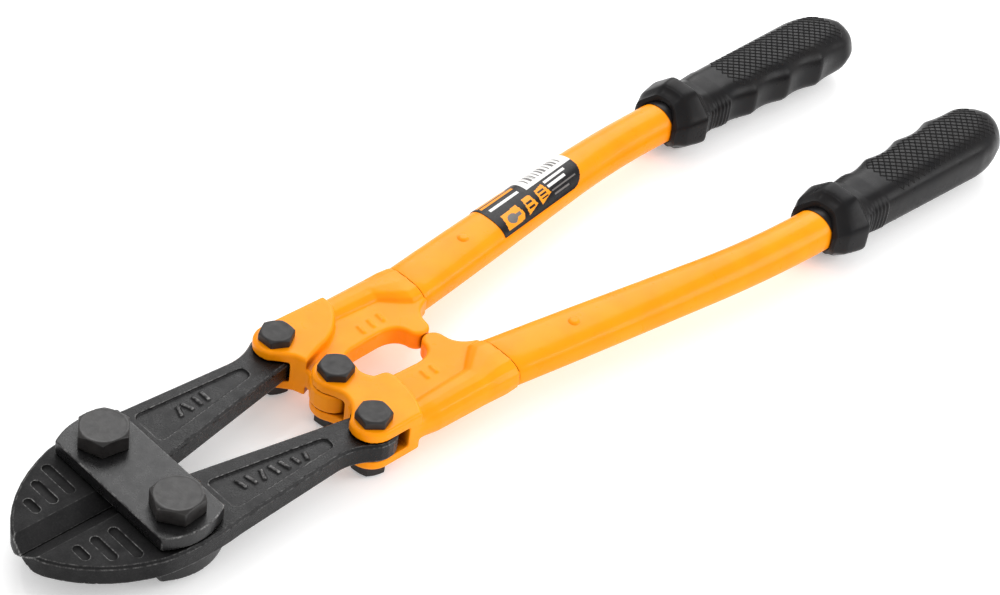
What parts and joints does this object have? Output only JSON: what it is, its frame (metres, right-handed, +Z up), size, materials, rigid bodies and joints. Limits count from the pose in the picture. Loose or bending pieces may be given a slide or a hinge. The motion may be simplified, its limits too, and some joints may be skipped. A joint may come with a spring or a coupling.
{
  "type": "bolt cutters",
  "caption": "Hand bolt cutters with short forged jaws tied by two strap plates, compound-lever cast handle heads, bent tubular handles and moulded grips.",
  "frame": {"origin": "middle of the footprint, on the surface that the closed tool lies on", "axes": "+X from the jaws to the grips, +Y to handle A, +Z up through the pivots"},
  "size_m": [0.4548, 0.1162, 0.0297],
  "materials": {
    "jaw_steel": "dark forged steel, satin, bright on worn edges",
    "strap_steel": "black oxide steel plate, satin",
    "bolt_steel": "black oxide steel, satin, bright corners",
    "painted_casting": "orange gloss paint over a casting",
    "painted_tube": "orange gloss paint over steel tube",
    "grip_rubber": "moulded black rubber, satin, with a knurled panel",
    "label_film": null
  },
  "bodies": {
    "straps": {"top_strap": "strap_steel", "bottom_strap": "strap_steel", "jaw_bolt_A": "bolt_steel", "jaw_bolt_B": "bolt_steel", "jaw_nut_A": "bolt_steel", "jaw_nut_B": "bolt_steel"},
    "jaw_A_body": {"jaw_A": "jaw_steel"},
    "jaw_B_body": {"jaw_B": "jaw_steel"},
    "handle_A": {"handle_head_A": "painted_casting", "handle_tube_A": "painted_tube", "tang_pin_A": "painted_tube", "grip_A": "grip_rubber", "link_bolt_A": "bolt_steel", "link_nut_A": "bolt_steel", "label": "label_film"},
    "handle_B": {"handle_head_B": "painted_casting", "handle_tube_B": "painted_tube", "tang_pin_B": "painted_tube", "grip_B": "grip_rubber", "link_bolt_B": "bolt_steel", "link_nut_B": "bolt_steel", "pivot_bolt": "bolt_steel", "pivot_nut": "bolt_steel"}
  },
  "joints": [
    {"name": "jaw_A_hinge", "type": "hinge", "parent": "straps", "child": "jaw_A_body", "pos_m": [-0.1811, 0.0194, 0.014], "axis": [0, 0, 1], "range_deg": [-8.56, 0]},
    {"name": "jaw_B_hinge", "type": "hinge", "parent": "straps", "child": "jaw_B_body", "pos_m": [-0.1811, -0.0194, 0.014], "axis": [0, 0, 1], "range_deg": [0, 8.56]},
    {"name": "handle_A_hinge", "type": "hinge", "parent": "jaw_A_body", "child": "handle_A", "pos_m": [-0.1028, 0.0254, 0.014], "axis": [0, 0, 1], "range_deg": [0, 58.55]},
    {"name": "handle_B_hinge", "type": "hinge", "parent": "jaw_B_body", "child": "handle_B", "pos_m": [-0.1028, -0.0254, 0.014], "axis": [0, 0, 1], "range_deg": [-58.55, 0]}
  ],
  "couplings": [
    {"joint": "jaw_A_hinge", "follows": "handle_A_hinge", "ratio": -0.14603},
    {"joint": "jaw_B_hinge", "follows": "handle_A_hinge", "ratio": 0.14603},
    {"joint": "handle_B_hinge", "follows": "handle_A_hinge", "ratio": -1}
  ]
}
